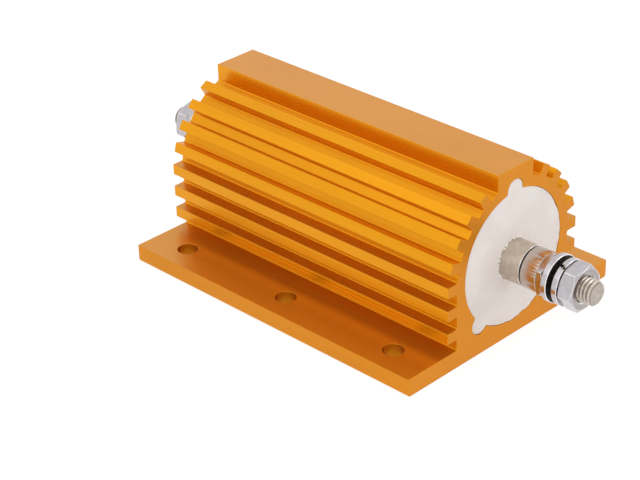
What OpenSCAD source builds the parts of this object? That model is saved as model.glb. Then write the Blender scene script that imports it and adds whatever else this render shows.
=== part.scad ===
// Aluminium housed wirewound power resistor with a stud terminal at each end.
// Millimetres. X runs along the housing, Z is up, and the origin is the centre of the base.

/* [Housing] */
// Length of the finned extrusion
body_length = 90; // [70:1:160]
// Width over both mounting flanges
flange_width = 71; // [68:0.5:90]
// Thickness of the mounting flanges
flange_thickness = 4.6; // [3:0.1:6]
// Radius of the flanges' lower outer edges
flange_corner = 0.7; // [0.3:0.1:2]
// Height from the base to the flat top of the bar
body_height = 43.4; // [42:0.1:50]
// Width of the flat bar that carries the marking
top_bar_width = 12.1; // [8:0.1:14]
// Height of the bore's axis above the base
axis_height = 20.6; // [19.6:0.1:22]
// Diameter of the bore that holds the element
bore_diameter = 33.5; // [29:0.1:34.5]

/* [Fins] */
// Distance from the bore's axis to the floor of the grooves
groove_floor = 19.4; // [18.5:0.1:20.5]
// Distance from the bore's axis to the tips of the fins above it
fan_fin_reach = 22.2; // [21.6:0.1:25]
// Thickness of the fins that fan out above the axis
fan_fin_thickness = 2.5; // [1.5:0.1:3.2]
// Angle between neighbouring fins of the fan
fan_fin_angle = 15; // [13:0.5:16]
// Fins in the fan on each side
fan_fin_count = 4; // [1:1:4]
// Distance from the bore's axis to the tips of the level fins
side_fin_reach = 22.5; // [21.6:0.1:25]
// Thickness of the level fins at and below the axis
side_fin_thickness = 2.75; // [1.5:0.05:3.2]
// Spacing of the level fins
side_fin_pitch = 5.9; // [5:0.1:6.2]
// Level fins on each side
side_fin_count = 3; // [1:1:3]
// Radius of the fillets at the roots of the fins, the bar and the walls
fin_root_radius = 0.45; // [0.2:0.05:0.7]

/* [Keyways] */
// Width of the keyways that lock the end seals in the bore
keyway_width = 5.2; // [3:0.1:6.5]
// Depth of the keyways beyond the bore
keyway_depth = 2.9; // [1.5:0.1:3.2]
// Corner radius of the keyways, at most half their width
keyway_corner = 2.4; // [0.4:0.1:2.6]
// Radius of the edges where the keyways open into the bore
keyway_mouth = 0.6; // [0.2:0.1:1]
// Angle from the top keyway to each of the two lower ones
keyway_spread = 138; // [125:1:145]

/* [Mounting holes] */
// Diameter of the six holes in the flanges
hole_diameter = 5.1; // [4:0.1:6.5]
// Distance between the outer holes of one flange
hole_spacing_x = 68.5; // [50:0.5:76]
// Distance between the two rows of holes
hole_spacing_y = 57.2; // [54:0.1:60]

/* [Element] */
// Distance that the element sits towards the front, out of the middle
element_shift = 0.9; // [0:0.1:2]
// Distance that the element hangs below the bore's axis
element_drop = 0.5; // [0:0.1:2]
// Distance from the housing's end to the end of the ceramic core
core_setback = 15; // [13:0.5:20]
// Diameter of the ceramic core
core_diameter = 18; // [14:0.5:22]
// Diameter of the hole through the ceramic core
core_bore = 6; // [3:0.5:10]
// Diameter of the resistance wire
wire_diameter = 1; // [0.6:0.1:1.4]
// Spacing of the turns of wire
wire_pitch = 2.8; // [2.2:0.1:4]
// Wall of the metal caps on the core's ends
cap_wall = 0.8; // [0.5:0.1:1.2]
// Length of the caps over the core
cap_length = 7; // [4:0.5:10]
// Depth of the cement seals in the ends of the bore
seal_depth = 6; // [3:0.5:8]
// Distance from the housing's end back to the face of the cement
seal_recess = 0.3; // [0:0.1:1]

/* [Terminals] */
// Diameter of the terminal's boss
boss_diameter = 10; // [8.4:0.1:12]
// Length of the boss outside the housing, with the element in the middle
boss_length = 4.4; // [3:0.1:12]
// Diameter of the flange inside, at the foot of the boss
foot_diameter = 15; // [13:0.5:17]
// Thickness of that flange
foot_thickness = 2; // [1:0.1:3]
// Diameter of the relief behind the spacer
relief_diameter = 8; // [7:0.1:8.2]
// Length of the relief
relief_length = 0.45; // [0.3:0.05:1.5]
// Diameter of the threaded stud
stud_diameter = 6; // [5:0.1:6.4]
// Length of the stud beyond the terminal nut
stud_end = 3.1; // [1.2:0.1:12]
// Chamfer on the stud's tip
stud_chamfer = 0.5; // [0.2:0.1:0.8]
// Diameter of the spacer sleeve
spacer_diameter = 10; // [8.6:0.1:12]
// Length of the spacer sleeve
spacer_length = 4.25; // [2:0.05:12]

/* [Nuts and washers] */
// Width across the flats of both nuts
nut_across_flats = 10; // [9.4:0.1:11]
// Thickness of the lock nut
lock_nut_thickness = 2.1; // [1.8:0.1:4]
// Thickness of the terminal nut
nut_thickness = 4; // [3:0.1:6]
// Diameter of the flat face inside a nut's chamfer
nut_face_diameter = 9.5; // [8.5:0.1:9.9]
// Depth of the countersinks in a nut
nut_countersink = 0.4; // [0.2:0.1:0.6]
// How far the front terminal nut is turned from its lock nut
front_nut_turn = 38; // [0:1:59]
// How far the rear terminal nut is turned from its lock nut
rear_nut_turn = 10; // [0:1:59]
// Diameter of the flat washer
washer_diameter = 11.6; // [10.5:0.1:14]
// Thickness of the flat washer
washer_thickness = 1.5; // [0.8:0.1:2]
// Room left for the cable lug between the washers
lug_gap = 1.4; // [0.8:0.1:4]
// Diameter of the spring washer
spring_washer_diameter = 11.2; // [9.8:0.1:12]
// Thickness of the spring washer
spring_washer_thickness = 1.4; // [0.9:0.1:1.8]
// Width of the slit in the spring washer
spring_washer_slit = 0.8; // [0.4:0.1:1.5]

/* [Fits] */
// Clearance between pieces that are potted, pressed or slid together
clearance = 0.05; // [0.03:0.01:0.1]
// Clearance round the stud in the washers and the spacer
stud_clearance = 0.2; // [0.1:0.05:0.3]

/* [Hidden] */

$fn = 96;
overcut = 1;
// Depth by which a fillet cuts into the disc that it touches, so that the two arcs cross cleanly
bite = 0.002;

bore_radius = bore_diameter / 2;
end_face = body_length / 2;
seal_face = end_face - seal_depth;
key_angles = [0, keyway_spread, -keyway_spread];

// The element, out from the middle of the housing
core_end = end_face - core_setback;
core_radius = core_diameter / 2;
cap_inner_radius = core_radius + clearance;
cap_radius = cap_inner_radius + cap_wall;
cap_face = core_end + clearance + cap_wall;
cap_rim = core_end - cap_length;
foot_face = cap_face + clearance;
foot_top = foot_face + foot_thickness;

// The wire, wound between the rims of the caps
wire_radius = wire_diameter / 2;
wire_sides = 6;
turn_steps = 30;
coil_radius = (core_radius + clearance + wire_radius) / cos(180 / turn_steps);
coil_outer = coil_radius + wire_radius;
coil_end = cap_rim - clearance - wire_radius;
coil_steps = floor(2 * coil_end / wire_pitch * turn_steps);

// The terminal stack, out from the end of the housing
boss_top = end_face + boss_length;
spacer_base = boss_top + relief_length;
lock_nut_base = spacer_base + spacer_length;
washer_base = lock_nut_base + lock_nut_thickness;
lug_base = washer_base + washer_thickness;
spring_washer_base = lug_base + lug_gap;
nut_base = spring_washer_base + spring_washer_thickness;
nut_top = nut_base + nut_thickness;
stud_tip = nut_top + stud_end;
stud_radius = stud_diameter / 2;
boss_radius = boss_diameter / 2;
nut_chamfer_angle = 30;

// ---- frames ----

// Carries a shape that is drawn along Z from the middle of the element out to the front
module on_axis(turn = 0) {
    translate([element_shift, 0, axis_height - element_drop])
        rotate([0, 0, turn])
            rotate([0, 90, 0])
                rotate([0, 0, 90])
                    children();
}

// The same out to the rear, turned half round the vertical
module on_rear_axis() {
    on_axis(180)
        children();
}

// Extrudes a section drawn in Y and Z along the housing, between two stations
module along_housing(from, to) {
    translate([from, 0, 0])
        rotate([90, 0, 90])
            linear_extrude(height = to - from)
                children();
}

module ring(outer_radius, inner_radius, from, to) {
    translate([0, 0, from])
        difference() {
            cylinder(r = outer_radius, h = to - from);
            translate([0, 0, -overcut])
                cylinder(r = inner_radius, h = to - from + 2 * overcut);
        }
}

// ---- sections ----

// Fillet in the corner at the left of a centre and below it
module corner_fillet(centre, disc_point, fillet) {
    difference() {
        polygon([
            centre,
            disc_point,
            [centre[0] - 2 * fillet, centre[1] - 2 * fillet],
            [centre[0], centre[1] - 2 * fillet]
        ]);
        translate(centre)
            circle(r = fillet);
    }
}

// Fillet between a disc about the origin and the upper side of a web that runs out of it along X
module web_root(thickness, disc_radius, fillet) {
    rise = thickness / 2 + fillet;
    out = sqrt(pow(disc_radius + fillet - bite, 2) - pow(rise, 2));
    inward = (disc_radius - fillet) / (disc_radius + fillet);
    corner_fillet([out, rise], [out * inward, rise * inward], fillet);
}

// The same where the web runs out of a straight wall
module wall_root(thickness, wall, fillet) {
    rise = thickness / 2 + fillet;
    corner_fillet([wall + fillet, rise], [wall - fillet, rise], fillet);
}

module mirrored_too(plane) {
    children();
    mirror(plane)
        children();
}

// One keyway, drawn upwards from the centre of the bore and narrower by the slack
module keyway_section(slack) {
    half = keyway_width / 2 - slack;
    top = bore_radius + keyway_depth - slack;
    corner = min(keyway_corner, half);
    translate([-half, 0])
        square([2 * half, top - corner]);
    translate([-half + corner, 0])
        square([2 * (half - corner), top]);
    mirrored_too([1, 0]) {
        translate([half - corner, top - corner])
            circle(r = corner);
        rotate(90)
            web_root(2 * half, bore_radius - slack, keyway_mouth + slack);
    }
}

// The bore with its keyways, which the cement and the filler take up less the slack
module bore_section(slack) {
    circle(r = bore_radius - slack);
    for (angle = key_angles)
        rotate(angle)
            keyway_section(slack);
}

// Fin along X whose root is filleted on both sides
module fan_fin_section() {
    translate([0, -fan_fin_thickness / 2])
        square([fan_fin_reach, fan_fin_thickness]);
    mirrored_too([0, 1])
        web_root(fan_fin_thickness, groove_floor, fin_root_radius);
}

// Level fin, the first of which has its upper side on the curve above the straight wall
module level_fin_section(index) {
    translate([0, -side_fin_thickness / 2])
        square([side_fin_reach, side_fin_thickness]);
    mirror([0, 1])
        wall_root(side_fin_thickness, groove_floor, fin_root_radius);
    if (index == 0)
        web_root(side_fin_thickness, groove_floor, fin_root_radius);
    else
        wall_root(side_fin_thickness, groove_floor, fin_root_radius);
}

// Right side: a fan of fins above the axis, level ones at and below it, and the flange's root
module side_section() {
    for (i = [1 : fan_fin_count])
        rotate(i * fan_fin_angle)
            fan_fin_section();
    for (i = [0 : side_fin_count - 1])
        translate([0, -i * side_fin_pitch])
            level_fin_section(i);
    translate([0, flange_thickness - axis_height])
        wall_root(0, groove_floor, fin_root_radius);
    rotate(90)
        mirror([0, 1])
            web_root(top_bar_width, groove_floor, fin_root_radius);
}

// Both flanges in one strip, with its lower edges rounded
module flange_section() {
    half = flange_width / 2;
    translate([-half, flange_corner])
        square([flange_width, flange_thickness - flange_corner]);
    translate([-half + flange_corner, 0])
        square([flange_width - 2 * flange_corner, flange_thickness]);
    for (side = [-1, 1])
        translate([side * (half - flange_corner), flange_corner])
            circle(r = flange_corner);
}

module housing_section() {
    difference() {
        union() {
            flange_section();
            translate([-groove_floor, 0])
                square([2 * groove_floor, axis_height]);
            translate([-top_bar_width / 2, axis_height])
                square([top_bar_width, body_height - axis_height]);
            translate([0, axis_height]) {
                circle(r = groove_floor);
                mirrored_too([1, 0])
                    side_section();
            }
        }
        translate([0, axis_height])
            bore_section(0);
    }
}

// ---- housing ----

module mounting_holes() {
    for (x = [-hole_spacing_x / 2, 0, hole_spacing_x / 2])
        for (y = [-hole_spacing_y / 2, hole_spacing_y / 2])
            translate([x, y, -overcut])
                cylinder(d = hole_diameter, h = flange_thickness + 2 * overcut);
}

module housing() {
    color("orange")
        difference() {
            along_housing(-end_face, end_face)
                housing_section();
            mounting_holes();
        }
}

// ---- element ----

module ceramic_core() {
    color("ivory")
        on_axis()
            ring(core_radius, core_bore / 2, -core_end, core_end);
}

// Centre of the wire at a step along the coil
function coil_centre(step) = [
    coil_radius * cos(360 * step / turn_steps),
    coil_radius * sin(360 * step / turn_steps),
    wire_pitch * (step - coil_steps / 2) / turn_steps
];

// Ring of points round the wire at that step
function coil_ring(step) = [
    for (side = [0 : wire_sides - 1])
        let (across = wire_radius * cos(360 * side / wire_sides))
        let (along = wire_radius * sin(360 * side / wire_sides))
        coil_centre(step) + [
            across * cos(360 * step / turn_steps),
            across * sin(360 * step / turn_steps),
            along
        ]
];

module resistance_winding() {
    points = [
        for (step = [0 : coil_steps])
            each coil_ring(step)
    ];
    walls = [
        for (step = [0 : coil_steps - 1])
            for (side = [0 : wire_sides - 1])
                let (next = (side + 1) % wire_sides)
                let (base = step * wire_sides)
                [base + side, base + next, base + wire_sides + next, base + wire_sides + side]
    ];
    start_face = [for (side = [wire_sides - 1 : -1 : 0]) side];
    end_points = [for (side = [0 : wire_sides - 1]) coil_steps * wire_sides + side];
    color("dimgray")
        on_axis()
            polyhedron(points = points, faces = concat([start_face], walls, [end_points]));
}

module end_cap() {
    difference() {
        translate([0, 0, cap_rim])
            cylinder(r = cap_radius, h = cap_face - cap_rim);
        translate([0, 0, cap_rim - overcut])
            cylinder(r = cap_inner_radius, h = core_end + clearance - cap_rim + overcut);
    }
}

module end_cap_front() {
    color("silver")
        on_axis()
            end_cap();
}

module end_cap_rear() {
    color("silver")
        on_rear_axis()
            end_cap();
}

// Room in the filler for one half of the element
module element_room() {
    translate([0, 0, -clearance])
        cylinder(r = coil_outer + clearance, h = cap_rim + clearance);
    translate([0, 0, cap_rim - clearance])
        cylinder(r = cap_radius + clearance, h = cap_face - cap_rim + 2 * clearance);
    translate([0, 0, cap_face])
        cylinder(r = foot_diameter / 2 + clearance, h = foot_top - cap_face + clearance);
    translate([0, 0, foot_top])
        cylinder(r = boss_radius + clearance, h = seal_face + element_shift + overcut - foot_top);
}

module insulating_filler() {
    filler_end = seal_face - clearance;
    color("wheat")
        difference() {
            along_housing(-filler_end, filler_end)
                translate([0, axis_height])
                    bore_section(clearance);
            on_axis()
                element_room();
            on_rear_axis()
                element_room();
        }
}

// Cement plug, a little short of the end of the housing, cast round the boss
module end_seal(from, to) {
    difference() {
        along_housing(from, to)
            translate([0, axis_height])
                bore_section(clearance);
        along_housing(from - overcut, to + overcut)
            translate([0, axis_height - element_drop])
                circle(r = boss_radius + clearance);
    }
}

module end_seal_front() {
    color("white")
        end_seal(seal_face, end_face - seal_recess);
}

module end_seal_rear() {
    color("white")
        end_seal(-end_face + seal_recess, -seal_face);
}

// ---- terminals ----

// Turned in one piece: foot, boss, relief and stud with a chamfered tip
module terminal_post() {
    relief_radius = relief_diameter / 2;
    rotate_extrude()
        polygon([
            [0, foot_face],
            [foot_diameter / 2, foot_face],
            [foot_diameter / 2, foot_top],
            [boss_radius, foot_top],
            [boss_radius, boss_top],
            [relief_radius, boss_top],
            [relief_radius, spacer_base],
            [stud_radius, spacer_base],
            [stud_radius, stud_tip - stud_chamfer],
            [stud_radius - stud_chamfer, stud_tip],
            [0, stud_tip]
        ]);
}

module terminal_post_front() {
    color("tan")
        on_axis()
            terminal_post();
}

module terminal_post_rear() {
    color("tan")
        on_rear_axis()
            terminal_post();
}

module spacer_sleeve() {
    ring(spacer_diameter / 2, stud_radius + stud_clearance, spacer_base, lock_nut_base);
}

module spacer_sleeve_front() {
    color("gainsboro")
        on_axis()
            spacer_sleeve();
}

module spacer_sleeve_rear() {
    color("gainsboro")
        on_rear_axis()
            spacer_sleeve();
}

// Hexagon with both faces turned down to a circle, and its hole countersunk at both ends
module hex_nut(base, thickness) {
    face_radius = nut_face_diameter / 2;
    corner_radius = nut_across_flats / 2 / cos(30);
    drop = (corner_radius - face_radius) * tan(nut_chamfer_angle);
    hole_radius = stud_radius + clearance;
    mouth_radius = hole_radius + nut_countersink;
    translate([0, 0, base])
        difference() {
            intersection() {
                rotate(30)
                    cylinder(r = corner_radius, h = thickness, $fn = 6);
                rotate_extrude()
                    polygon([
                        [0, 0],
                        [face_radius, 0],
                        [corner_radius, drop],
                        [corner_radius, thickness - drop],
                        [face_radius, thickness],
                        [0, thickness]
                    ]);
            }
            rotate_extrude()
                polygon([
                    [0, -overcut],
                    [mouth_radius + overcut, -overcut],
                    [hole_radius, nut_countersink],
                    [hole_radius, thickness - nut_countersink],
                    [mouth_radius + overcut, thickness + overcut],
                    [0, thickness + overcut]
                ]);
        }
}

module lock_nut_front() {
    color("silver")
        on_axis()
            hex_nut(lock_nut_base, lock_nut_thickness);
}

module lock_nut_rear() {
    color("silver")
        on_rear_axis()
            hex_nut(lock_nut_base, lock_nut_thickness);
}

module flat_washer() {
    ring(washer_diameter / 2, stud_radius + stud_clearance, washer_base, lug_base);
}

module flat_washer_front() {
    color("gainsboro")
        on_axis()
            flat_washer();
}

module flat_washer_rear() {
    color("gainsboro")
        on_rear_axis()
            flat_washer();
}

// Split ring whose slit is cut on the slant
module spring_washer() {
    slit_lean = 20;
    slit_place = 26;
    middle = (spring_washer_base + nut_base) / 2;
    difference() {
        ring(spring_washer_diameter / 2, stud_radius + stud_clearance, spring_washer_base, nut_base);
        rotate(slit_place)
            translate([0, spring_washer_diameter / 2, middle])
                rotate([0, slit_lean, 0])
                    cube([spring_washer_slit, spring_washer_diameter, 4 * spring_washer_thickness], center = true);
    }
}

module spring_washer_front() {
    color("lightgray")
        on_axis()
            spring_washer();
}

module spring_washer_rear() {
    color("lightgray")
        on_rear_axis()
            spring_washer();
}

module terminal_nut_front() {
    color("silver")
        on_axis()
            rotate(front_nut_turn)
                hex_nut(nut_base, nut_thickness);
}

module terminal_nut_rear() {
    color("silver")
        on_rear_axis()
            rotate(rear_nut_turn)
                hex_nut(nut_base, nut_thickness);
}

// ---- build ----

housing();
insulating_filler();
ceramic_core();
resistance_winding();
end_cap_front();
end_cap_rear();
end_seal_front();
end_seal_rear();
terminal_post_front();
terminal_post_rear();
spacer_sleeve_front();
spacer_sleeve_rear();
lock_nut_front();
lock_nut_rear();
flat_washer_front();
flat_washer_rear();
spring_washer_front();
spring_washer_rear();
terminal_nut_front();
terminal_nut_rear();
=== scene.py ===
import math

import bmesh
import bpy
import numpy as np
from mathutils import Matrix, Vector


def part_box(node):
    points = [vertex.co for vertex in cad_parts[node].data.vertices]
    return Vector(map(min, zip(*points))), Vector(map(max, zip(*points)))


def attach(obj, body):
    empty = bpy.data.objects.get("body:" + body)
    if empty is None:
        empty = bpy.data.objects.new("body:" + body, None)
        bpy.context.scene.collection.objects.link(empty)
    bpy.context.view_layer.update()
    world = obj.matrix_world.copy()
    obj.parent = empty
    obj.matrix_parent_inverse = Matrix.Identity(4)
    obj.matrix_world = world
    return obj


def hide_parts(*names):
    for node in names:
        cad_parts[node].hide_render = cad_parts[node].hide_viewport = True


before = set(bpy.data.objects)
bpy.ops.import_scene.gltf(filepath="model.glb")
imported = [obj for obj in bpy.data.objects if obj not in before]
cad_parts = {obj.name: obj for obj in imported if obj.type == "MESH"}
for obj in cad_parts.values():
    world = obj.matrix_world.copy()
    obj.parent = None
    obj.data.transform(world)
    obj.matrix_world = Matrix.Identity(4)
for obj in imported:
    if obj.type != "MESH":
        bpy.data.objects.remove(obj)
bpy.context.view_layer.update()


# ---- Ceramic core ----
# A tube of fired alumina that carries the winding. It is pressed and fired, so it is off-white,
# slightly grainy and has no gloss. It lies in the filler along the axis of the bore.

def new_finish(name, **values):
    """A material whose Principled shader has these constant values, given by socket name."""
    finish = bpy.data.materials.new(name)
    finish.use_nodes = True
    shader = finish.node_tree.nodes["Principled BSDF"]
    for socket, value in values.items():
        shader.inputs[socket.replace("_", " ")].default_value = value
    return finish


def grain(finish, size, stretch=(1, 1, 1), detail=4.0, seed=0.0):
    """The factor of noise, 0 to 1, its features that size in metres and stretched along each axis."""
    nodes, links = finish.node_tree.nodes, finish.node_tree.links
    place = nodes.new("ShaderNodeTexCoord")
    mapping = nodes.new("ShaderNodeMapping")
    mapping.inputs["Location"].default_value = (seed, seed, seed)
    mapping.inputs["Scale"].default_value = [1 / s for s in stretch]
    noise = nodes.new("ShaderNodeTexNoise")
    noise.inputs["Scale"].default_value = 1 / size
    noise.inputs["Detail"].default_value = detail
    links.new(place.outputs["Object"], mapping.inputs["Vector"])
    links.new(mapping.outputs["Vector"], noise.inputs["Vector"])
    return noise.outputs["Fac"]


def spread(finish, factor, low, high, start=0.35, end=0.65):
    """A value that goes smoothly from low to high as the factor goes from start to end."""
    nodes, links = finish.node_tree.nodes, finish.node_tree.links
    steps = nodes.new("ShaderNodeMapRange")
    steps.interpolation_type = "SMOOTHSTEP"
    for socket, value in (("From Min", start), ("From Max", end), ("To Min", low), ("To Max", high)):
        steps.inputs[socket].default_value = value
    links.new(factor, steps.inputs["Value"])
    return steps.outputs["Result"]


def blend_colour(finish, share, under, over):
    """A colour that goes from under to over as the share goes from 0 to 1; either may be a socket."""
    nodes, links = finish.node_tree.nodes, finish.node_tree.links
    mix = nodes.new("ShaderNodeMix")
    mix.data_type = "RGBA"
    links.new(share, mix.inputs["Factor"])
    for colour, socket in ((under, mix.inputs[6]), (over, mix.inputs[7])):
        if isinstance(colour, bpy.types.NodeSocket):
            links.new(colour, socket)
        else:
            socket.default_value = (*colour, 1)
    return mix.outputs[2]


def mottle(finish, factor, darker, paler):
    """A colour that wanders between two tones as the factor does."""
    return blend_colour(finish, spread(finish, factor, 0, 1), darker, paler)


def relief(finish, height, depth, under=None):
    """Bump of that depth in metres from a height socket, laid over another bump where one is given."""
    nodes, links = finish.node_tree.nodes, finish.node_tree.links
    bump = nodes.new("ShaderNodeBump")
    bump.inputs["Distance"].default_value = depth
    links.new(height, bump.inputs["Height"])
    if under is not None:
        links.new(under, bump.inputs["Normal"])
    return bump.outputs["Normal"]


def set_finish(finish, **sockets):
    """Links these sockets to the Principled shader's inputs of the same names."""
    shader = finish.node_tree.nodes["Principled BSDF"]
    for name, socket in sockets.items():
        finish.node_tree.links.new(socket, shader.inputs[name.replace("_", " ")])
    return finish


def dress(node, finish):
    """Gives a carried-over solid its finish."""
    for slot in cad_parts[node].material_slots:
        slot.link = "OBJECT"
        slot.material = finish


ceramic = new_finish("alumina", Roughness=0.6, Specular_IOR_Level=0.4)
speckle = grain(ceramic, 0.0006, detail=6)
set_finish(
    ceramic,
    Base_Color=mottle(ceramic, speckle, (0.72, 0.68, 0.58), (0.83, 0.80, 0.72)),
    Normal=relief(ceramic, speckle, 0.00004),
)
dress("ceramic_core", ceramic)


# ---- Resistance winding ----
# Bare nickel-chromium wire wound in one layer on the core, its turns held by the filler.
# The wire is drawn, then darkened by the firing of the coat, with a brownish oxide.

wire_oxide = new_finish("oxidised_wire", Metallic=1.0)
patches = grain(wire_oxide, 0.003, detail=3)
set_finish(
    wire_oxide,
    Base_Color=mottle(wire_oxide, patches, (0.16, 0.13, 0.11), (0.34, 0.31, 0.29)),
    Roughness=spread(wire_oxide, patches, 0.55, 0.35),
    Normal=relief(wire_oxide, grain(wire_oxide, 0.0002), 0.00001),
)
dress("resistance_winding", wire_oxide)


# ---- End caps ----
# Cups drawn from plated steel sheet and pressed over the ends of the core. They join the wire's
# ends to the posts. Drawing leaves faint rings round them.

drawn_steel = new_finish("drawn_steel", Metallic=1.0)
draw_rings = grain(drawn_steel, 0.0002, stretch=(1, 60, 60))
set_finish(
    drawn_steel,
    Base_Color=mottle(drawn_steel, draw_rings, (0.50, 0.49, 0.47), (0.62, 0.61, 0.59)),
    Roughness=spread(drawn_steel, draw_rings, 0.4, 0.28),
    Normal=relief(drawn_steel, draw_rings, 0.00001),
)
for end_name in ("front", "rear"):
    dress("end_cap_" + end_name, drawn_steel)


# ---- Insulating filler ----
# A fine mineral powder and binder, rammed round the element and baked. It fills the bore
# between the two seals and carries the heat to the housing.

packed_sand = new_finish("packed_sand", Roughness=0.9, Specular_IOR_Level=0.3)
sand = grain(packed_sand, 0.0004, detail=8)
set_finish(
    packed_sand,
    Base_Color=mottle(packed_sand, sand, (0.56, 0.49, 0.38), (0.76, 0.70, 0.60)),
    Normal=relief(packed_sand, sand, 0.0001),
)
dress("insulating_filler", packed_sand)


# ---- Housing ----
# One aluminium extrusion, cut to length, drilled and anodised gold. Extruding leaves fine lines
# along it. Its upward faces get their own copy of the gold, darker dye under more clear coat,
# painted for how light falls on them. Its ends and the flange's outer sides get a matter copy whose
# darker dye is painted shade, its hole walls are painted darker as shade, and every edge is broken a
# little by deburring.

edge_break = 0.00016       # radius left on the edges by deburring
edge_angle = math.radians(28)
flat_angle = math.radians(0.3)     # triangles that lean less than this make up one flat face
flange_top = 0.0046
flange_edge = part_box("housing")[1].y - 0.0001
hole_band = (0.025, 0.032)     # how far from the middle the six holes lie
square_on = 0.99               # a face looks straight along an axis when its normal's share is over this
upright = 0.1                  # and a wall is upright when its normal's height is under this

housing = bpy.data.objects.new("finned_housing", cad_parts["housing"].data.copy())
bpy.context.scene.collection.objects.link(housing)
shell = bmesh.new()
shell.from_mesh(housing.data)
bmesh.ops.remove_doubles(shell, verts=shell.verts, dist=1e-6)
bmesh.ops.dissolve_limit(shell, angle_limit=flat_angle, verts=shell.verts, edges=shell.edges)
shell.to_mesh(housing.data)
shell.free()
housing.data.shade_smooth()
if housing.data.has_custom_normals:
    housing.data.attributes.remove(housing.data.attributes["custom_normal"])
broken = housing.modifiers.new("broken_edges", "BEVEL")
broken.width = edge_break
broken.segments = 2
broken.limit_method = "ANGLE"
broken.angle_limit = edge_angle
broken.miter_outer = "MITER_ARC"
even = housing.modifiers.new("flat_faces", "WEIGHTED_NORMAL")
even.weight = 90
even.keep_sharp = True


def anodised(name, dye, metal, matte, coat, line_shade, grit):
    """
    Anodised aluminium: dyed metal under a thin clear layer.

    The dyed layer scatters what the metal doesn't mirror. The dye drifts in broad clouds,
    lengthwise die lines shade it by line_shade, and grit is the depth of the fine etched grain.
    The roughness runs 0.04 either side of matte along the lines.
    """
    finish = new_finish(
        name,
        Metallic=metal,
        Specular_IOR_Level=0.25,
        Coat_Weight=coat,
        Coat_Roughness=0.3,
        Coat_IOR=1.6,
    )
    die_lines = grain(finish, 0.0006, stretch=(600, 1, 1), detail=5)
    etching = grain(finish, 0.00012, detail=3)
    clouds = grain(finish, 0.012, stretch=(3, 1, 1), detail=3)
    paler = [value * 1.05 for value in dye]
    colour = mottle(finish, clouds, dye, paler)
    lined = [value * 1.12 + 0.01 for value in dye]
    colour = blend_colour(finish, spread(finish, die_lines, 0, line_shade, 0.4, 0.7), colour, lined)
    set_finish(
        finish,
        Base_Color=colour,
        Roughness=spread(finish, die_lines, matte - 0.04, matte + 0.04),
        Normal=relief(finish, die_lines, 0.000001, relief(finish, etching, grit)),
    )
    return finish


def face_arrays(piece):
    """The centres and the normals of a piece's faces, a row for each face."""
    faces = piece.data.polygons
    centre, normal = np.empty(len(faces) * 3), np.empty(len(faces) * 3)
    faces.foreach_get("center", centre)
    faces.foreach_get("normal", normal)
    return centre.reshape(-1, 3), normal.reshape(-1, 3)


def give_finish(piece, finish, chosen):
    """Gives the chosen faces of a piece a finish of their own."""
    faces = piece.data.polygons
    index = np.empty(len(faces), dtype=np.int32)
    faces.foreach_get("material_index", index)
    index[chosen] = len(piece.data.materials)
    piece.data.materials.append(finish)
    faces.foreach_set("material_index", index)


centre, normal = face_arrays(housing)
aside, share = np.abs(centre[:, 1]), np.abs(normal)
ends_and_flange_sides = (share[:, 0] > square_on) | ((aside > flange_edge) & (share[:, 1] > square_on))
hole_wall = (centre[:, 2] < flange_top) & (aside > hole_band[0]) & (aside < hole_band[1])
hole_wall &= share[:, 2] < upright
gold_sides = anodised(
    "gold_sides", (0.770, 0.310, 0.003), metal=0.70, matte=0.29, coat=0.03, line_shade=0.08, grit=0.0000005
)
# Painted light: the upward faces' copy, darker dye under more clear coat, for how light falls on the tops.
gold_flats = anodised(
    "gold_flats", (0.655, 0.256, 0.012), metal=0.80, matte=0.33, coat=0.28, line_shade=0.05, grit=0.0000008
)
# The ends' and flange sides' copy: matter, with darker dye as painted shade.
gold_matte_and_shaded = anodised(
    "gold_matte_and_shaded", (0.675, 0.238, 0.003), metal=0.66, matte=0.40, coat=0.04, line_shade=0, grit=0.000001
)
# Painted shade: the hole walls' copy is darker, for the shade inside the holes.
gold_hole_shade = anodised(
    "gold_hole_shade", (0.58, 0.200, 0.004), metal=0.80, matte=0.36, coat=0, line_shade=0, grit=0.000001
)
housing.data.materials.clear()
housing.data.materials.append(gold_sides)
give_finish(housing, gold_hole_shade, hole_wall)
give_finish(housing, gold_flats, normal[:, 2] > square_on)
give_finish(housing, gold_matte_and_shaded, ends_and_flange_sides)
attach(housing, "root")
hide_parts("housing")


# ---- Terminal posts ----
# Each post is turned from steel in one piece and nickel plated: a foot inside, the boss, a short
# relief, and a stud whose thread is rolled on. The element is potted a little towards the front,
# so the front post stands out further than the rear one.

axis_height = (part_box("terminal_post_front")[0].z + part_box("terminal_post_front")[1].z) / 2
foot_thickness = 0.002
boss_radius = 0.005
relief_radius = 0.004
relief_length = 0.00045
stud_radius = 0.003
thread_pitch = 0.001
thread_depth = 0.0005
turned_edge = 0.00012      # radius on the turned pieces' edges
thread_start = 0.0002      # the thread begins this far past the sleeve's seat
tip_edge = 0.00004         # radius round the sheared tip
rings_a_pitch = 12
places_round = 96
on_plane = 0.00002         # a face whose centre is this near a plane lies on it
looks_along = 0.9          # a face whose normal leans more than this looks along the axis
boss_edge_lean = (0.15, 0.97)      # how far the faces lean that carry the boss edge's painted highlight


def outward(node, end):
    """Nearest and farthest stations of a node, out from the housing's middle to one end (1 or -1)."""
    low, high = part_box(node)
    return (low.x, high.x) if end > 0 else (-high.x, -low.x)


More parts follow.
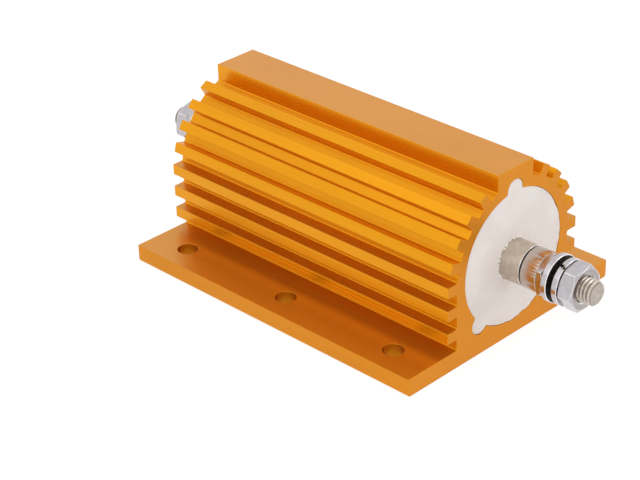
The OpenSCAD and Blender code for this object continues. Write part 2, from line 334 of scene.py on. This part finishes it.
def rounded(corners, radius, closed=True, steps=4, guard=0.00002):
    """
    A profile whose corners are rounded, with corners[i] the points of corner i.

    Each corner gives way to an arc that touches both of its sides: its centre lies on the line
    that halves the corner, at radius over the sine of half the angle. A guard point just before
    and just after each arc keeps the shading of the flat sides flat.
    """
    to_last = np.roll(corners, 1, axis=0) - corners
    to_next = np.roll(corners, -1, axis=0) - corners
    if not closed:
        corners, to_last, to_next = corners[1:-1], to_last[1:-1], to_next[1:-1]
    to_last = to_last / np.linalg.norm(to_last, axis=-1, keepdims=True)
    to_next = to_next / np.linalg.norm(to_next, axis=-1, keepdims=True)
    half = np.arccos(np.clip((to_last * to_next).sum(-1, keepdims=True), -1, 1)) / 2
    reach = radius / np.tan(half)
    middle = to_last + to_next
    centre = corners + middle / np.linalg.norm(middle, axis=-1, keepdims=True) * radius / np.sin(half)
    start = corners + to_last * reach - centre
    finish = corners + to_next * reach - centre
    points = [corners + to_last * (reach + guard)]
    for share in np.linspace(0, 1, steps + 1):
        step = start * (1 - share) + finish * share
        points.append(centre + step / np.linalg.norm(step, axis=-1, keepdims=True) * radius)
    points.append(corners + to_next * (reach + guard))
    return np.stack(points, axis=1).reshape(-1, *corners.shape[1:])


def skin(name, rings, flat_ends=False):
    """
    A closed mesh over rings of points, where rings[i, j] is place j on ring i.

    Neighbouring rings are joined by four-sided faces all the way round. The last ring joins the
    first, or with flat ends one face closes each end.
    """
    count, around = rings.shape[:2]
    index = np.arange(count * around).reshape(count, around)
    ahead = np.roll(index, -1, axis=0)
    if flat_ends:
        index, ahead = index[:-1], ahead[:-1]
    faces = np.stack([index, np.roll(index, -1, axis=1), np.roll(ahead, -1, axis=1), ahead], axis=-1)
    faces = faces.reshape(-1, 4).tolist()
    if flat_ends:
        faces += [list(range(around)), list(range((count - 1) * around, count * around))]
    mesh = bpy.data.meshes.new(name)
    mesh.from_pydata(rings.reshape(-1, 3).tolist(), [], faces)
    shell = bmesh.new()
    shell.from_mesh(mesh)
    bmesh.ops.recalc_face_normals(shell, faces=shell.faces)
    shell.to_mesh(mesh)
    shell.free()
    mesh.shade_smooth()
    piece = bpy.data.objects.new(name, mesh)
    bpy.context.scene.collection.objects.link(piece)
    return piece


def round_axis(station, radius, angle, end):
    """
    Points round the terminals' axis, for the front end (1) or the rear end (-1).

    A point at a station along the axis, a radius from it and an angle from level stands at
    (station, radius cos angle, axis height + radius sin angle); the rear is turned half round Z.
    """
    station, radius, angle = np.broadcast_arrays(station, radius, angle)
    return np.stack(
        [end * station, end * radius * np.cos(angle), axis_height + radius * np.sin(angle)], axis=-1
    )


def full_turn(count):
    return np.linspace(0, 2 * np.pi, count, endpoint=False)


def stud_thread(station, angle, tip):
    """
    Radius of the stud at a station and an angle.

    The thread is a triangle wave that advances one pitch a turn, cut off flat at its crest and
    root, and it is never outside the chamfer, which falls at 45 degrees to the tip.
    """
    phase = (station / thread_pitch - angle / (2 * np.pi)) % 1
    wave = np.clip(1.35 * np.abs(2 * phase - 1) - 0.175, 0, 1)
    chamfer = stud_radius - thread_depth + np.maximum(tip - station, 0)
    return np.minimum(stud_radius - thread_depth * wave, chamfer)


def terminal_post(name, node, sleeve_node, end):
    """
    The turned profile spun round the axis up to the sleeve's seat, then the thread to the tip.

    The rings past the seat take their radius from the thread, so the profile changes with the angle.
    """
    foot, tip = outward(node, end)
    foot_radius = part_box(node)[1].y
    seat = outward(sleeve_node, end)[0]
    boss_top = seat - relief_length
    core_radius = stud_radius - thread_depth
    corners = np.array([
        [foot, 0],
        [foot, foot_radius],
        [foot + foot_thickness, foot_radius],
        [foot + foot_thickness, boss_radius],
        [boss_top, boss_radius],
        [boss_top, relief_radius],
        [seat, relief_radius],
        [seat, core_radius],
        [tip, core_radius],
    ])
    body = rounded(corners, turned_edge, closed=False)
    angle = full_turn(places_round)
    body_rings = round_axis(body[:, :1], body[:, 1:], angle, end)
    last = tip - 0.75 * tip_edge
    station = np.arange(seat + thread_start, last - tip_edge, thread_pitch / rings_a_pitch)
    station = np.append(station, last)[:, None]
    stud_rings = round_axis(station, stud_thread(station, angle, tip), angle, end)
    tip_radius = core_radius - tip_edge * np.array([[1], [3]])
    tip_rings = round_axis(tip, tip_radius, angle, end)
    return skin(name, np.concatenate([body_rings, stud_rings, tip_rings]), flat_ends=True)


def off_axis(finish):
    """Distance of the shaded point from the terminals' axis, in metres."""
    nodes, links = finish.node_tree.nodes, finish.node_tree.links
    place = nodes.new("ShaderNodeTexCoord")
    from_axis = nodes.new("ShaderNodeVectorMath")
    from_axis.operation = "SUBTRACT"
    from_axis.inputs[1].default_value = (0, 0, axis_height)
    across = nodes.new("ShaderNodeVectorMath")
    across.operation = "MULTIPLY"
    across.inputs[1].default_value = (0, 1, 1)
    length = nodes.new("ShaderNodeVectorMath")
    length.operation = "LENGTH"
    links.new(place.outputs["Object"], from_axis.inputs[0])
    links.new(from_axis.outputs[0], across.inputs[0])
    links.new(across.outputs[0], length.inputs[0])
    return length.outputs["Value"]


def face_places(piece, end):
    """
    Where the faces of a piece on the axis lie, as arrays.

    The station and radius are those of each face's centre, the lean is its normal's share along the
    axis, and the angle is its normal's direction round the axis in degrees.
    """
    centre, normal = face_arrays(piece)
    radius = np.hypot(centre[:, 1], centre[:, 2] - axis_height)
    angle = np.degrees(np.arctan2(normal[:, 2], end * normal[:, 1]))
    return end * centre[:, 0], radius, np.abs(normal[:, 0]), angle


# The plating is dull and stained, and the colour is darker the nearer it is to the axis,
# at the roots of the thread and on its chamfer.
dull_nickel = new_finish("dull_nickel", Metallic=1.0, Anisotropic=0.3)
lathe_rings = grain(dull_nickel, 0.00012, stretch=(1, 80, 80), detail=3)
stains = grain(dull_nickel, 0.0022, detail=4)
scuffs = grain(dull_nickel, 0.00035, detail=4)
plated = mottle(dull_nickel, stains, (0.58, 0.515, 0.435), (0.68, 0.615, 0.535))
dark_below, plain_above = stud_radius - thread_depth, stud_radius - 0.2 * thread_depth
off_root = spread(dull_nickel, off_axis(dull_nickel), 0, 1, dark_below, plain_above)
set_finish(
    dull_nickel,
    Base_Color=blend_colour(dull_nickel, off_root, (0.30, 0.255, 0.225), plated),
    Roughness=spread(dull_nickel, stains, 0.42, 0.30),
    Normal=relief(dull_nickel, lathe_rings, 0.000006, relief(dull_nickel, scuffs, 0.00006)),
)

# The stud's tip is sheared, so its face is torn and rough.
sheared_steel = new_finish("sheared_tip", Metallic=1.0)
tears = grain(sheared_steel, 0.0004, stretch=(1, 1, 2.5), detail=5)
set_finish(
    sheared_steel,
    Base_Color=mottle(sheared_steel, tears, (0.47, 0.410, 0.355), (0.57, 0.505, 0.445)),
    Roughness=spread(sheared_steel, tears, 0.55, 0.42),
    Normal=relief(sheared_steel, tears, 0.00003),
)

# Painted shade: a near-black finish on the relief groove and on the faces in the lug's gap, where shade
# falls between the parts.
painted_shade = new_finish("painted_shade", Metallic=1.0)
shade_noise = grain(painted_shade, 0.0009, detail=4)
set_finish(
    painted_shade,
    Base_Color=mottle(painted_shade, shade_noise, (0.05, 0.042, 0.038), (0.10, 0.088, 0.080)),
    Roughness=spread(painted_shade, shade_noise, 0.45, 0.6),
)

# Painted highlight: rounded edges get a near-white nickel, standing in for the light they catch.
highlight_nickel = new_finish("painted_edge_highlight", Metallic=1.0)
highlight_noise = grain(highlight_nickel, 0.0006, detail=3)
set_finish(
    highlight_nickel,
    Base_Color=mottle(highlight_nickel, highlight_noise, (0.78, 0.75, 0.75), (0.93, 0.91, 0.92)),
    Roughness=spread(highlight_nickel, highlight_noise, 0.28, 0.16),
)

ends = {"front": 1, "rear": -1}
for end_name, end in ends.items():
    post_node = "terminal_post_" + end_name
    post = terminal_post("threaded_post_" + end_name, post_node, "spacer_sleeve_" + end_name, end)
    post.data.materials.append(dull_nickel)
    station, _, lean, _ = face_places(post, end)
    seat = outward("spacer_sleeve_" + end_name, end)[0]
    tip = outward(post_node, end)[1]
    boss_top = seat - relief_length
    give_finish(post, sheared_steel, (station > tip - on_plane) & (lean > looks_along))
    # The relief groove between the boss and the sleeve gets the painted shade.
    give_finish(post, painted_shade, (station > boss_top + on_plane / 2) & (station < seat - on_plane / 2))
    # The boss's rounded edge gets a painted highlight.
    boss_edge = abs(station - boss_top) < turned_edge
    boss_edge &= (lean > boss_edge_lean[0]) & (lean < boss_edge_lean[1])
    give_finish(post, highlight_nickel, boss_edge)
    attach(post, "root")
    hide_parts(post_node)


# ---- End seals ----
# Refractory cement, poured into each end of the bore and its keyways and wiped off just below the
# cut end. It dries warm white with soft stains, and leaves a broken crust round the boss.

seal_slack = 0.00005
key_half_width = 0.0026 - seal_slack
key_corner = 0.0024
key_mouth = 0.0006 + seal_slack
key_spread = math.radians(138)
key_reach = math.radians(13)       # half the angle that a keyway and its mouth take up
crust_height = 0.0006
crust_width = 0.0003
face_waviness = 0.00004
face_waves = (410, 530, 300)       # radians a metre across, up and on the slant
rim_lift = 0.00022                 # how far the cement creeps up the wall of the bore
rim_width = 0.0005
wall_edge = 0.0001                 # radius at the two edges of the wall
places_off_keys = 420
places_a_key_side = 30


def keyway_edge(angle, bore, top):
    """
    Distance from the bore's axis to a keyway's outline, at an angle from the keyway's middle.

    It is the nearest of the flat top (top over cosine) and the side wall (half width over sine), or
    the top corner's arc past the point where it starts. Where the side wall meets the bore, the far
    side of a circle that touches both takes over, up to where it leaves the bore.
    """
    sine, cosine = np.sin(np.abs(angle)), np.cos(angle)
    flat_top = top / cosine
    side_wall = key_half_width / np.maximum(sine, 1e-6)
    across, along = key_half_width - key_corner, top - key_corner
    middle = across * sine + along * cosine
    inside = np.maximum(middle ** 2 - across ** 2 - along ** 2 + key_corner ** 2, 0)
    arc = middle + np.sqrt(inside)
    on_arc = (arc * sine > across) & (arc * cosine > along)
    edge = np.where(on_arc, arc, np.minimum(flat_top, side_wall))
    mouth_across = key_half_width + key_mouth
    mouth_along = np.sqrt((bore + key_mouth) ** 2 - mouth_across ** 2)
    middle = mouth_across * sine + mouth_along * cosine
    inside = np.maximum(middle ** 2 - mouth_across ** 2 - mouth_along ** 2 + key_mouth ** 2, 0)
    mouth = middle - np.sqrt(inside)
    at_mouth = (edge * cosine < mouth_along) & (sine / cosine < mouth_across / mouth_along)
    return np.where(at_mouth, np.maximum(mouth, bore), np.maximum(edge, bore))


def ripple(angle, lowest, highest, fall, seed):
    """Sum of sines of lowest to highest waves a turn, each weaker by that power of its count."""
    phases = np.random.default_rng(seed).uniform(0, 2 * np.pi, highest - lowest + 1)
    waves = np.arange(lowest, highest + 1)
    return (np.sin(np.multiply.outer(angle, waves) + phases) / waves ** fall).sum(-1)


def end_seal(name, node, end, seed):
    """
    The plug as rings between the boss's hole and the bore, down the bore's wall and back inside.

    A ring stands at a share of the way from the hole's circle to the outline, both taken at the same
    angle from their own centres, because the boss hangs a little below the bore's axis. The face
    has a slow waviness and a low rim, and by the boss it rises into the crust, whose height is a
    ragged ripple of the angle that falls off with the distance squared.
    """
    low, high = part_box(node)
    back, face = outward(node, end)
    bore = (high.y - low.y) / 2
    bore_height = low.z + bore
    top = high.z - bore_height
    hole = boss_radius + seal_slack
    key_places = np.array([0, key_spread, -key_spread]) + np.pi / 2
    close = np.linspace(math.radians(6), key_reach, places_a_key_side)
    near_keys = [place + side * close for place in key_places for side in (-1, 1)]
    angle = np.unique(np.concatenate([full_turn(places_off_keys), *near_keys]) % (2 * np.pi))
    angle = angle[np.append(np.diff(angle), 1) > math.radians(0.04)]
    outline = np.full(angle.shape, bore)
    for place in key_places:
        offset = (angle - place + np.pi) % (2 * np.pi) - np.pi
        in_key = np.abs(offset) < key_reach
        edge = keyway_edge(np.where(in_key, offset, 0), bore, top)
        outline = np.where(in_key, edge, outline)

    def ring(share, station, inset=0.0):
        inner_y, inner_z = hole * np.cos(angle), hole * np.sin(angle) + axis_height
        outer_y = (outline - inset) * np.cos(angle)
        outer_z = (outline - inset) * np.sin(angle) + bore_height
        y, z = inner_y + (outer_y - inner_y) * share, inner_z + (outer_z - inner_z) * share
        return np.stack(np.broadcast_arrays(end * station, end * y, z), axis=-1)

    by_the_boss = 0.08 * np.linspace(0, 1, 16)[:-1] ** 2
    between, by_the_wall = np.linspace(0.08, 0.93, 20), np.linspace(0.94, 0.994, 10)
    share = np.concatenate([by_the_boss, between, by_the_wall])[:, None]
    radius = hole + (outline - hole) * share
    y, z = radius * np.cos(angle), radius * np.sin(angle)
    waves = np.sin(face_waves[0] * y + seed) + np.sin(face_waves[1] * z + 2 * seed)
    waviness = face_waviness * (waves + np.sin(face_waves[2] * (y + z)))
    ragged = np.clip(0.30 + 0.22 * ripple(angle, 5, 60, 0.35, seed), 0, 1)
    lift = crust_height * ragged * np.exp(-((radius - hole) / (crust_width * (0.6 + ragged))) ** 2)
    creep = np.clip(0.45 + 0.3 * ripple(angle, 2, 40, 0.5, seed + 9), 0, 1)
    rim = rim_lift * creep * np.exp(-((outline - radius) / rim_width) ** 2)
    face_rings = ring(share, face + waviness + lift + rim)
    top_edge = face + rim_lift * creep
    at_hole, at_wall = np.zeros((1, 1)), np.ones((1, 1))
    wall_rings = np.concatenate([
        ring(at_wall, top_edge - 0.3 * wall_edge, 0.3 * wall_edge),
        ring(at_wall, top_edge - wall_edge),
        ring(at_wall, back + wall_edge),
        ring(at_wall, back, wall_edge),
        ring(at_hole, back),
    ])
    return skin(name, np.concatenate([face_rings, wall_rings]))


cement = new_finish("end_cement", Specular_IOR_Level=0.35)
soft_stains = grain(cement, 0.007, detail=3, seed=0.4)
fine_stains = grain(cement, 0.0012, detail=5)
pores = grain(cement, 0.0003, detail=4)
tone = mottle(cement, soft_stains, (0.755, 0.690, 0.648), (0.79, 0.735, 0.695))
tone = blend_colour(cement, spread(cement, fine_stains, 0, 0.35, 0.55, 0.8), tone, (0.71, 0.640, 0.592))
set_finish(
    cement,
    Base_Color=tone,
    Roughness=spread(cement, fine_stains, 0.72, 0.88),
    Normal=relief(cement, pores, 0.00003, relief(cement, fine_stains, 0.00008)),
)
for seed, (end_name, end) in enumerate(ends.items()):
    seal_node = "end_seal_" + end_name
    seal = end_seal("cement_seal_" + end_name, seal_node, end, seed + 3)
    seal.data.materials.append(cement)
    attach(seal, "root")
    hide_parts(seal_node)


# ---- Spacer sleeves ----
# A short tube of brass slid over the stud to hold the nuts clear of the cement. It is turned,
# polished and nickel plated, and its slight haze leaves a soft mirror image of the housing.

bore_slack = 0.0002

satin_nickel = new_finish("satin_nickel", Metallic=1.0)
haze = grain(satin_nickel, 0.0018, detail=4)
set_finish(
    satin_nickel,
    Base_Color=mottle(satin_nickel, haze, (0.56, 0.505, 0.455), (0.61, 0.555, 0.505)),
    Roughness=spread(satin_nickel, haze, 0.12, 0.17),
)


def washer(name, node, end, edge):
    """A flat ring: a rectangle with rounded corners, spun round the axis."""
    near, far = outward(node, end)
    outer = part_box(node)[1].y
    inner = stud_radius + bore_slack
    corners = np.array([[near, inner], [near, outer], [far, outer], [far, inner]])
    profile = rounded(corners, edge)
    return skin(name, round_axis(profile[:, :1], profile[:, 1:], full_turn(places_round), end))


for end_name, end in ends.items():
    sleeve_node = "spacer_sleeve_" + end_name
    sleeve = washer("polished_sleeve_" + end_name, sleeve_node, end, turned_edge)
    sleeve.data.materials.append(satin_nickel)
    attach(sleeve, "root")
    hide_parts(sleeve_node)


# ---- Nuts ----
# The thin lock nut clamps the sleeve, and the full nut clamps the cable's lug. Both are cold
# formed hexagons, chamfered at 30 degrees on both faces, tapped, and bright nickel plated. Their
# rounded edges carry painted highlights, and their flat end faces are painted darker as shade.

nut_across_flats = 0.01
nut_turns = {"front": 38, "rear": 10}       # where each terminal nut came to rest, in degrees
lock_nut_turn = 0
lock_nut_edge = 0.00008
full_nut_edge = 0.0001
nut_slack = 0.00005
face_share = 0.95          # radius of the flat face over half the width across flats
mouth_depth = 0.0004       # countersink at both ends of the thread
chamfer_angle = math.radians(30)
edge_lean = (0.15, 0.985)  # how far the faces lean that lie on a rounded edge
places_a_flat = 28
crowding = 0.93            # how strongly those places crowd towards the corners, 0 to 1
corner_power = 160         # a higher power leaves sharper corners

bright_nickel = new_finish("bright_nickel", Metallic=1.0)
handling = grain(bright_nickel, 0.0016, detail=5)
polish_lines = grain(bright_nickel, 0.00010, stretch=(1, 40, 40), detail=2)
set_finish(
    bright_nickel,
    Base_Color=mottle(bright_nickel, handling, (0.50, 0.468, 0.485), (0.55, 0.518, 0.540)),
    Roughness=spread(bright_nickel, handling, 0.11, 0.15),
    Normal=relief(bright_nickel, polish_lines, 0.000001),
)

# Painted shade: the nuts' flat end faces get a darker copy of the nickel, for how light falls on them.
shaded_nut_face = new_finish("shaded_nut_face", Metallic=1.0)
face_noise = grain(shaded_nut_face, 0.0010, detail=4)
set_finish(
    shaded_nut_face,
    Base_Color=mottle(shaded_nut_face, face_noise, (0.385, 0.350, 0.345), (0.45, 0.415, 0.415)),
    Roughness=spread(shaded_nut_face, face_noise, 0.30, 0.22),
)


def hex_nut(name, node, end, turn, edge):
    """
    A chamfered hexagon as a profile that changes with the angle, carried round the axis.

    The outside is half the width across flats over the largest cosine of the angle to a flat's
    middle, with the corners softened by a high power mean. The chamfer starts at the flat face's
    radius and drops by the slope times what the outside adds. Places crowd towards the corners.
    """
    near, far = outward(node, end)
    flat = nut_across_flats / 2
    even = np.linspace(0, 1, places_a_flat, endpoint=False)
    crowded = even - crowding * np.sin(2 * np.pi * even) / (2 * np.pi)
    corner_places = math.radians(30 + turn) + np.arange(6) * np.pi / 3
    angle = (corner_places[:, None] + crowded * np.pi / 3).ravel()
    to_flats = np.maximum(np.cos(np.subtract.outer(angle, corner_places + np.pi / 6)), 0)
    outside = flat / ((to_flats ** corner_power).sum(-1) ** (1 / corner_power))
    face = np.full(angle.shape, flat * face_share)
    drop = (outside - face) * math.tan(chamfer_angle)
    bore = np.full(angle.shape, stud_radius + nut_slack)
    mouth = bore + mouth_depth
    x0, x1 = np.full(angle.shape, near), np.full(angle.shape, far)
    corners = np.stack([
        np.stack([x0 + mouth_depth, bore], -1),
        np.stack([x0, mouth], -1),
        np.stack([x0, face], -1),
        np.stack([x0 + drop, outside], -1),
        np.stack([x1 - drop, outside], -1),
        np.stack([x1, face], -1),
        np.stack([x1, mouth], -1),
        np.stack([x1 - mouth_depth, bore], -1),
    ])
    profile = rounded(corners, edge, steps=3)
    return skin(name, round_axis(profile[..., 0], profile[..., 1], angle, end))


def fasten(piece, node):
    """Plates the piece with bright nickel and lets it stand for its solid."""
    piece.data.materials.append(bright_nickel)
    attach(piece, "root")
    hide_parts(node)


def paint_edge_highlights(piece, end, turn=None):
    """
    Gives a piece's rounded edges the painted highlight.

    An edge is a face that looks neither along the axis nor square to it. On a nut, turned by that
    many degrees, the chamfers aren't edges, and a face more than 4 degrees off every flat is one.
    """
    _, _, lean, angle = face_places(piece, end)
    edge = (lean > edge_lean[0]) & (lean < edge_lean[1])
    if turn is not None:
        on_chamfer = np.abs(lean - math.cos(chamfer_angle)) <= 0.04
        off_flat = np.abs((angle - turn + 30) % 60 - 30)
        edge = edge & ~on_chamfer | (lean <= edge_lean[0]) & (off_flat > 4)
    give_finish(piece, highlight_nickel, edge)


for end_name, end in ends.items():
    for name, node, turn, edge in (
        ("thin_nut_", "lock_nut_" + end_name, lock_nut_turn, lock_nut_edge),
        ("full_nut_", "terminal_nut_" + end_name, nut_turns[end_name], full_nut_edge),
    ):
        nut = hex_nut(name + end_name, node, end, turn, edge)
        fasten(nut, node)
        paint_edge_highlights(nut, end, turn)
        give_finish(nut, shaded_nut_face, face_places(nut, end)[2] > square_on)


# ---- Flat washers ----
# Punched from sheet steel and barrelled, so the rim is smooth and well rounded, then bright
# nickel plated. Each bears on the lock nut's face; its rounded rim carries a painted highlight, and
# its face towards the lug's gap is painted near black as shade.

barrelled_edge = 0.0002
gap_shade_rim = 0.0052           # the painted shade in the lug's gap reaches out this far from the axis


def paint_gap_shade(piece, gap_side, end):
    """Gives the face that looks into the lug's gap, at that station, the painted shade: near black for the
    shade between the washers.
    """
    station, radius, lean, _ = face_places(piece, end)
    in_gap = (abs(station - gap_side) < on_plane) & (lean > looks_along) & (radius < gap_shade_rim)
    give_finish(piece, painted_shade, in_gap)


for end_name, end in ends.items():
    flat_node = "flat_washer_" + end_name
    flat_washer = washer("punched_washer_" + end_name, flat_node, end, barrelled_edge)
    fasten(flat_washer, flat_node)
    paint_edge_highlights(flat_washer, end)
    paint_gap_shade(flat_washer, outward(flat_node, end)[1], end)


# ---- Spring washers ----
# One turn of rectangular spring steel, cut through on the slant so that the nut can't turn back.
# It is hardened and nickel plated, and lies flat under the nut.

slit_width = 0.0008
slit_lean = math.radians(20)
slit_place = math.radians(116)
wire_edge = 0.00012        # radius on the edges of the spring steel
places_a_coil = 90


def spring_washer(name, node, end):
    """
    A rounded rectangle carried once round the axis, from one side of the slit to the other.

    The angle of each end moves with the station by the tangent of the lean over the radius, so the
    two cut faces are parallel slants.
    """
    near, far = outward(node, end)
    outer = axis_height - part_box(node)[0].z
    inner = stud_radius + bore_slack
    corners = np.array([[near, inner], [near, outer], [far, outer], [far, inner]])
    profile = rounded(corners, wire_edge, steps=3)
    station, radius = profile[:, 0], profile[:, 1]
    half_slit = slit_width / 2 / radius
    lean = np.tan(slit_lean) * (station - (near + far) / 2) / radius
    share = np.linspace(0, 1, places_a_coil)[:, None]
    angle = slit_place + lean + half_slit + share * (2 * np.pi - 2 * half_slit)
    return skin(name, round_axis(station, radius, angle, end), flat_ends=True)


for end_name, end in ends.items():
    spring_node = "spring_washer_" + end_name
    split_washer = spring_washer("split_washer_" + end_name, spring_node, end)
    fasten(split_washer, spring_node)
    # Its rounded edges get the painted highlight.
    paint_edge_highlights(split_washer, end)
    # Its face towards the lug's gap gets the painted shade.
    paint_gap_shade(split_washer, outward(spring_node, end)[0], end)


# ---- Floor, light and camera ----
# A plain white table and an even white room, with two soft lamps high over the near side and one
# beyond the front end. The camera looks down on the front end with its stud.

def seen_directly(tree):
    """1 for what the camera sees itself, in a mirror or through glass, and 0 for light that falls."""
    path = tree.nodes.new("ShaderNodeLightPath")
    either = tree.nodes.new("ShaderNodeMath")
    either.operation = "MAXIMUM"
    any_of = tree.nodes.new("ShaderNodeMath")
    any_of.operation = "MAXIMUM"
    tree.links.new(path.outputs["Is Camera Ray"], either.inputs[0])
    tree.links.new(path.outputs["Is Glossy Ray"], either.inputs[1])
    tree.links.new(either.outputs[0], any_of.inputs[0])
    tree.links.new(path.outputs["Is Transmission Ray"], any_of.inputs[1])
    return any_of.outputs[0]


def white_table(size):
    """A square floor whose material is white where it is seen and keeps a faint shadow."""
    mesh = bpy.data.meshes.new("table")
    side = size / 2
    corners = [(-side, -side, 0), (side, -side, 0), (side, side, 0), (-side, side, 0)]
    mesh.from_pydata(corners, [], [(0, 1, 2, 3)])
    floor = bpy.data.objects.new("table", mesh)
    bpy.context.scene.collection.objects.link(floor)
    finish = bpy.data.materials.new("white_table")
    finish.use_nodes = True
    tree = finish.node_tree
    tree.nodes.clear()
    plain = tree.nodes.new("ShaderNodeBsdfDiffuse")
    plain.inputs["Color"].default_value = (0.9, 0.9, 0.9, 1)
    shadowed = tree.nodes.new("ShaderNodeBsdfDiffuse")
    shadowed.inputs["Color"].default_value = (0.16, 0.16, 0.16, 1)
    white = tree.nodes.new("ShaderNodeEmission")
    white.inputs["Color"].default_value = (0.88, 0.88, 0.88, 1)
    both = tree.nodes.new("ShaderNodeAddShader")
    choice = tree.nodes.new("ShaderNodeMixShader")
    output = tree.nodes.new("ShaderNodeOutputMaterial")
    tree.links.new(shadowed.outputs[0], both.inputs[0])
    tree.links.new(white.outputs[0], both.inputs[1])
    tree.links.new(seen_directly(tree), choice.inputs[0])
    tree.links.new(plain.outputs[0], choice.inputs[1])
    tree.links.new(both.outputs[0], choice.inputs[2])
    tree.links.new(choice.outputs[0], output.inputs[0])
    mesh.materials.append(finish)
    return floor


def white_room(falling_light):
    """The world: white where it is seen, and a softer white for the light that it sheds."""
    world = bpy.data.worlds.new("white_room")
    world.use_nodes = True
    tree = world.node_tree
    tree.nodes.clear()
    falls = tree.nodes.new("ShaderNodeBackground")
    falls.inputs["Color"].default_value = (1, 1, 1, 1)
    falls.inputs["Strength"].default_value = falling_light
    seen = tree.nodes.new("ShaderNodeBackground")
    seen.inputs["Color"].default_value = (1, 1, 1, 1)
    choice = tree.nodes.new("ShaderNodeMixShader")
    output = tree.nodes.new("ShaderNodeOutputWorld")
    tree.links.new(seen_directly(tree), choice.inputs[0])
    tree.links.new(falls.outputs[0], choice.inputs[1])
    tree.links.new(seen.outputs[0], choice.inputs[2])
    tree.links.new(choice.outputs[0], output.inputs[0])
    bpy.context.scene.world = world


def soft_lamp(name, place, size, power, aim=(0, 0, 0.02)):
    """A square lamp at a place, turned towards the aim."""
    lamp = bpy.data.lights.new(name, "AREA")
    lamp.size = size
    lamp.energy = power
    holder = bpy.data.objects.new(name, lamp)
    bpy.context.scene.collection.objects.link(holder)
    holder.location = place
    holder.rotation_mode = "QUATERNION"
    holder.rotation_quaternion = (Vector(aim) - Vector(place)).to_track_quat("-Z", "Y")


def camera_at(place, azimuth, elevation, roll, lens):
    """A camera at a place that looks along an azimuth and down by an elevation, in degrees."""
    turn, down, tilt = math.radians(azimuth), math.radians(elevation), math.radians(roll)
    back = Vector((math.sin(turn) * math.cos(down), -math.cos(turn) * math.cos(down), math.sin(down)))
    right = Vector((0, 0, 1)).cross(back).normalized()
    up = back.cross(right)
    side = right * math.cos(tilt) + up * math.sin(tilt)
    top = up * math.cos(tilt) - right * math.sin(tilt)
    data = bpy.data.cameras.new("camera")
    data.lens = lens
    data.sensor_width = 36
    camera = bpy.data.objects.new("camera", data)
    bpy.context.scene.collection.objects.link(camera)
    rotation = Matrix((side, top, back)).transposed().to_4x4()
    camera.matrix_world = Matrix.Translation(place) @ rotation
    bpy.context.scene.camera = camera


white_table(size=6)
white_room(falling_light=1.0)
soft_lamp("soft_lamp_left", (0.30, -0.85, 0.70), size=0.5, power=1.1)
soft_lamp("soft_lamp_back", (-0.35, -0.75, 0.85), size=0.9, power=0.8)
soft_lamp("soft_lamp_right", (0.80, 0.66, 0.52), size=0.4, power=1.1)
camera_at((0.28383, -0.29836, 0.23939), azimuth=45.23, elevation=29.30, roll=-1.63, lens=109.25)
bpy.context.scene.view_settings.view_transform = "Standard"
